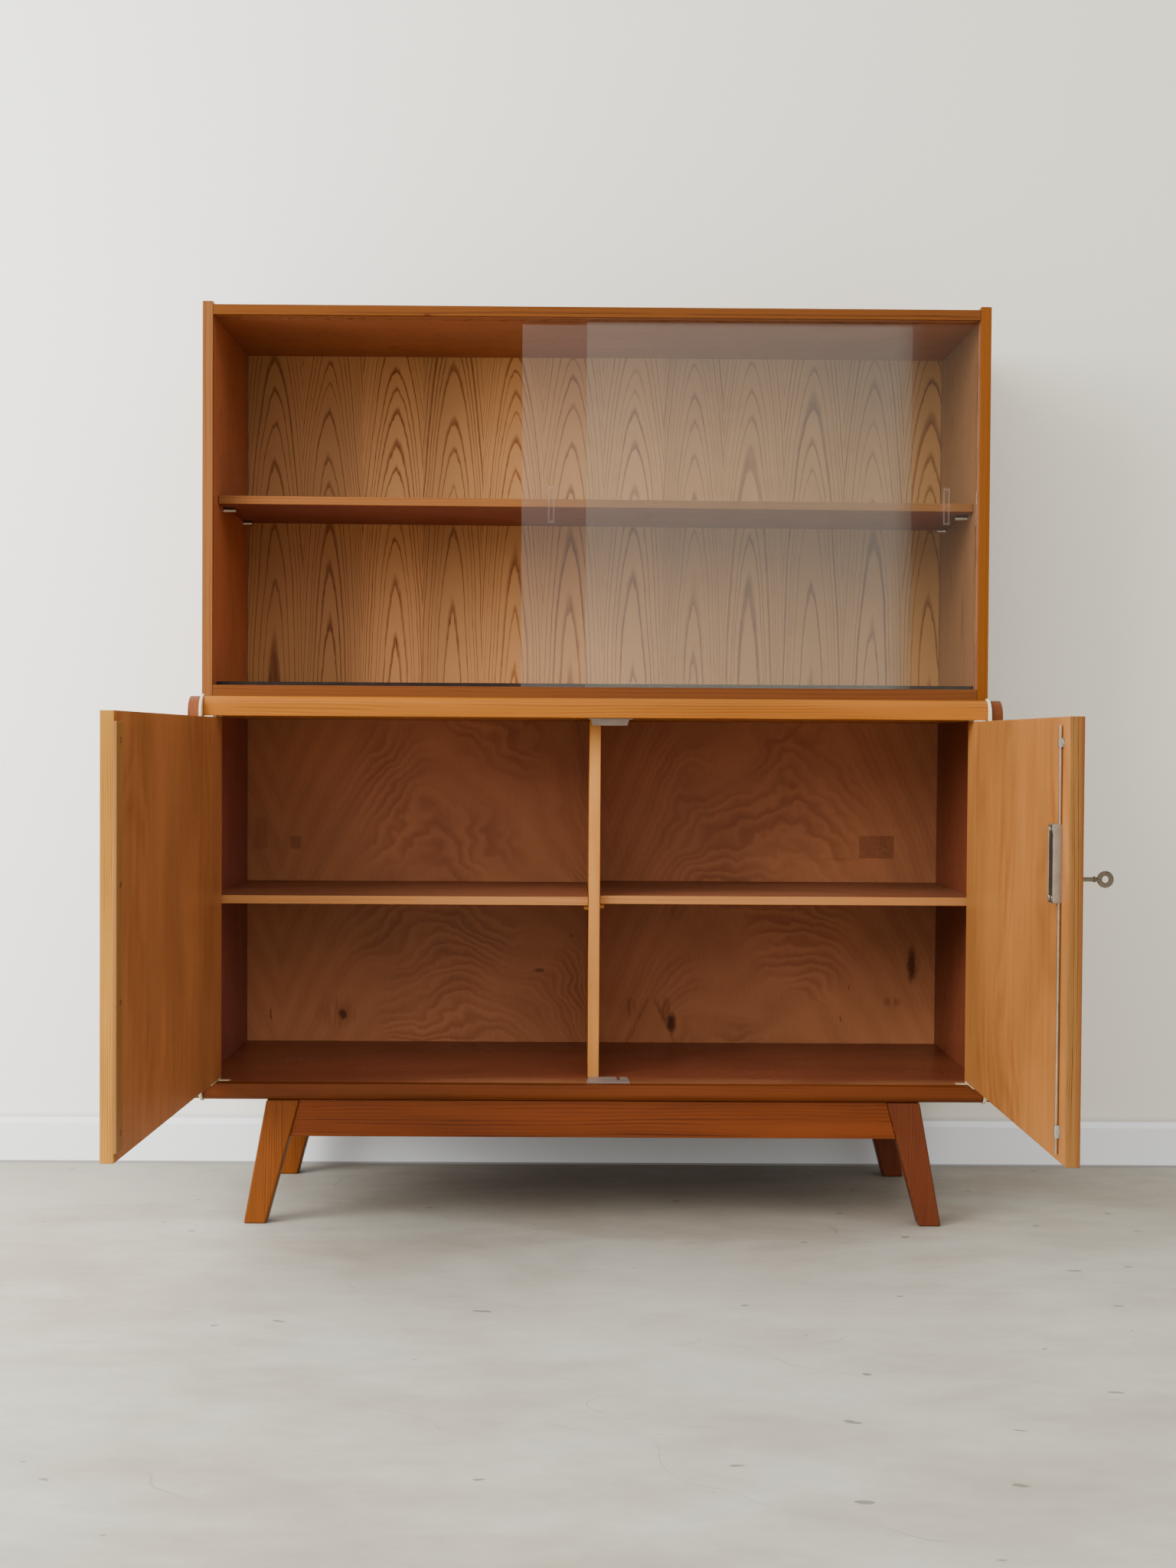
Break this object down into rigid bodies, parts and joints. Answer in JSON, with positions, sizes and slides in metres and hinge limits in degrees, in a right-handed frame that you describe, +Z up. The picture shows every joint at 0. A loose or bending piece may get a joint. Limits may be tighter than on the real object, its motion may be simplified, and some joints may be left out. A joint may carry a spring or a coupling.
{
  "type": "buffet",
  "caption": "Wooden buffet on splayed tapered legs: lower case with hinged doors, rod lock and loose shelves, and a shallower upper case with a shelf behind sliding glass panes.",
  "frame": {"origin": "centre of the bounding box's bottom face, on the floor, with the doors open and the key in its lock", "axes": "+Z up, +X to the right of someone facing the front, +Y from the front to the back"},
  "size_m": [1.1738, 0.9168, 1.3263],
  "materials": {
    "oak_red": "satin varnish",
    "oak_gold": "satin varnish",
    "oak_nose": "satin varnish",
    "door_veneer": "satin varnish",
    "plywood_brown": "satin varnish",
    "pale_wood": "satin varnish",
    "dark_wood": "dark stain",
    "ivory_piping": "gloss",
    "hinge_ivory": "gloss paint",
    "steel": "worn nickel plate",
    "key_steel": "aged nickel plate",
    "pane_glass": "polished"
  },
  "bodies": {
    "case": {"apron_front": "oak_red", "apron_left": "oak_red", "apron_rear": "oak_red", "apron_right": "oak_red", "case_leaf_bottom_left": "hinge_ivory", "case_leaf_bottom_right": "hinge_ivory", "case_leaf_top_left": "hinge_ivory", "case_leaf_top_right": "hinge_ivory", "divider": "pale_wood", "glass_stop_strip": "dark_wood", "leg_front_left": "oak_red", "leg_front_right": "oak_red", "leg_rear_left": "oak_red", "leg_rear_right": "oak_red", "lower_back_panel": "plywood_brown", "lower_bottom_board": "plywood_brown", "lower_bottom_nose": "oak_nose", "lower_shelf_left": "pale_wood", "lower_shelf_right": "pale_wood", "lower_side_left": "oak_red", "lower_side_right": "oak_red", "lower_top_board": "oak_gold", "lower_top_nose": "oak_nose", "piping_left": "ivory_piping", "piping_right": "ivory_piping", "strike_plate_bottom": "steel", "strike_plate_top": "steel", "upper_back_panel": "oak_gold", "upper_bottom_board": "oak_red", "upper_shelf": "oak_gold", "upper_shelf_pin_front_left": "steel", "upper_shelf_pin_front_right": "steel", "upper_shelf_pin_rear_left": "steel", "upper_shelf_pin_rear_right": "steel", "upper_side_left": "oak_red", "upper_side_right": "oak_red", "upper_top_board": "oak_gold"},
    "door_left": {"door_left_panel": "door_veneer", "door_left_lipping": "pale_wood", "closing_strip": "pale_wood", "closing_strip_screw_1": "steel", "closing_strip_screw_2": "steel", "closing_strip_screw_3": "steel", "closing_strip_screw_4": "steel", "door_leaf_bottom_left": "hinge_ivory", "door_leaf_top_left": "hinge_ivory"},
    "door_right": {"door_right_panel": "door_veneer", "door_right_lipping": "pale_wood", "lock_case": "steel", "rod_guide_upper": "steel", "rod_guide_lower": "steel", "keyhole_escutcheon": "steel", "door_leaf_bottom_right": "hinge_ivory", "door_leaf_top_right": "hinge_ivory"},
    "glass_left": {"glass_left": "pane_glass"},
    "glass_right": {"glass_right": "pane_glass"},
    "key": {"key": "key_steel", "lock_follower": "steel"},
    "upper_rod": {"upper_rod": "steel"},
    "lower_rod": {"lower_rod": "steel"}
  },
  "joints": [
    {"name": "left_door", "type": "hinge", "parent": "case", "child": "door_left", "pos_m": [-0.55517, 0.09098, 0.4615], "axis": [0, 0, 1], "range_deg": [-2.2, 91.75]},
    {"name": "right_door", "type": "hinge", "parent": "case", "child": "door_right", "pos_m": [0.53143, 0.09098, 0.4615], "axis": [0, 0, -1], "range_deg": [-4, 90]},
    {"name": "left_glass", "type": "slide", "parent": "case", "child": "glass_left", "axis": [1, 0, 0], "range_m": [-0.448, 0.094]},
    {"name": "right_glass", "type": "slide", "parent": "case", "child": "glass_right", "axis": [1, 0, 0], "range_m": [-0.542, 0]},
    {"name": "key_turn", "type": "hinge", "parent": "door_right", "child": "key", "pos_m": [0.53968, -0.40672, 0.5311], "axis": [1, 0, 0], "range_deg": [0, 180]},
    {"name": "upper_bolt", "type": "slide", "parent": "door_right", "child": "upper_rod", "axis": [0, 0, 1], "range_m": [0, 0.02]},
    {"name": "lower_bolt", "type": "slide", "parent": "door_right", "child": "lower_rod", "axis": [0, 0, -1], "range_m": [0, 0.02]}
  ],
  "couplings": [
    {"joint": "key_turn", "follows": "lower_bolt", "rad_per_m": 157.07},
    {"joint": "upper_bolt", "follows": "lower_bolt", "ratio": 1}
  ]
}
